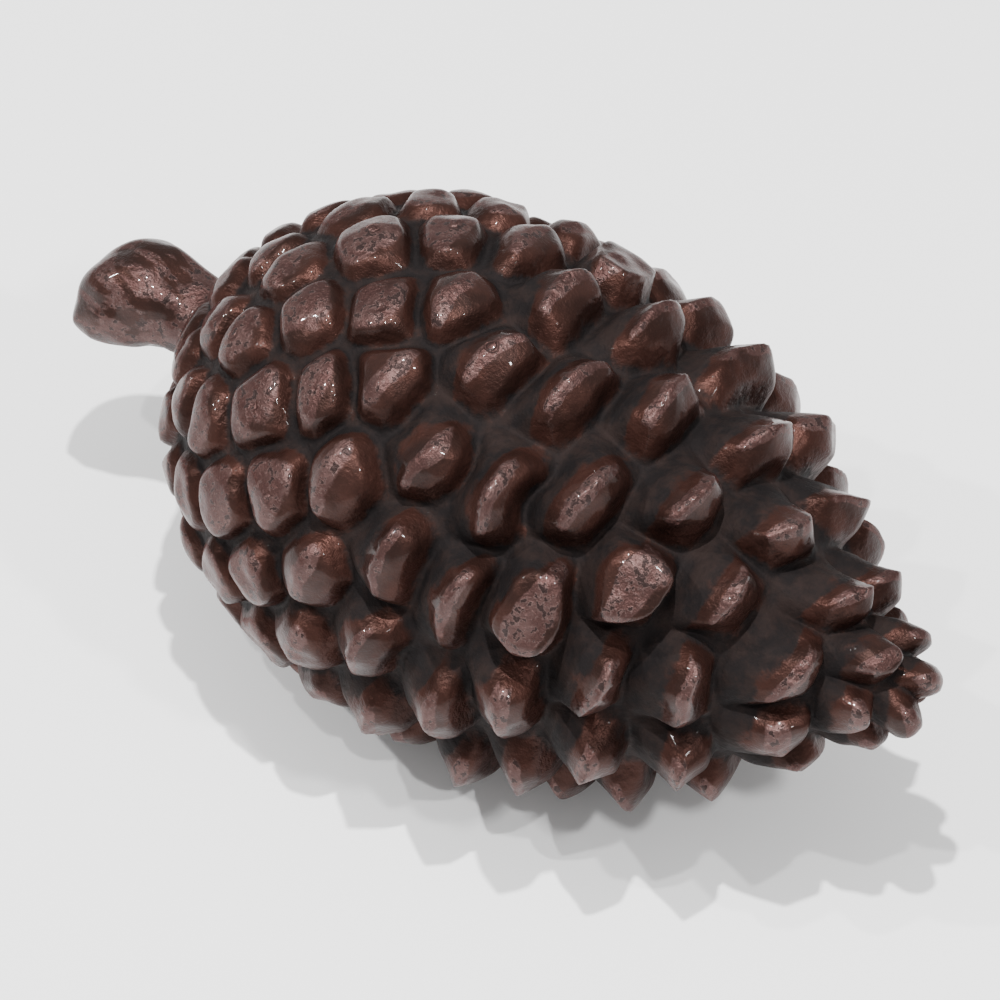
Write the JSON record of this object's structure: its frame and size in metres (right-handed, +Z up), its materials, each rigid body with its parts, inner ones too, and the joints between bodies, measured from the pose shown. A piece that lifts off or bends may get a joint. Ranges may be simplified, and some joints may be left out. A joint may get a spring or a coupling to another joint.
{
  "type": "cast bronze-finish pine cone ornament",
  "caption": "Cast metal pine cone ornament lying on its side, with a short flared stem, domed base scales, leaning middle ridges and blunt tongues at the tip.",
  "frame": {"origin": "on the surface it rests on, under the centre of its box", "axes": "+X along the cone's axis towards its tip, +Z up as it lies"},
  "size_m": [0.1534, 0.0841, 0.0818],
  "materials": {
    "antiqued_bronze": "dark brown lacquer with rubbed copper high spots and matt grooves"
  },
  "bodies": {
    "root": {"pine_cone": "antiqued_bronze"}
  },
  "joints": []
}
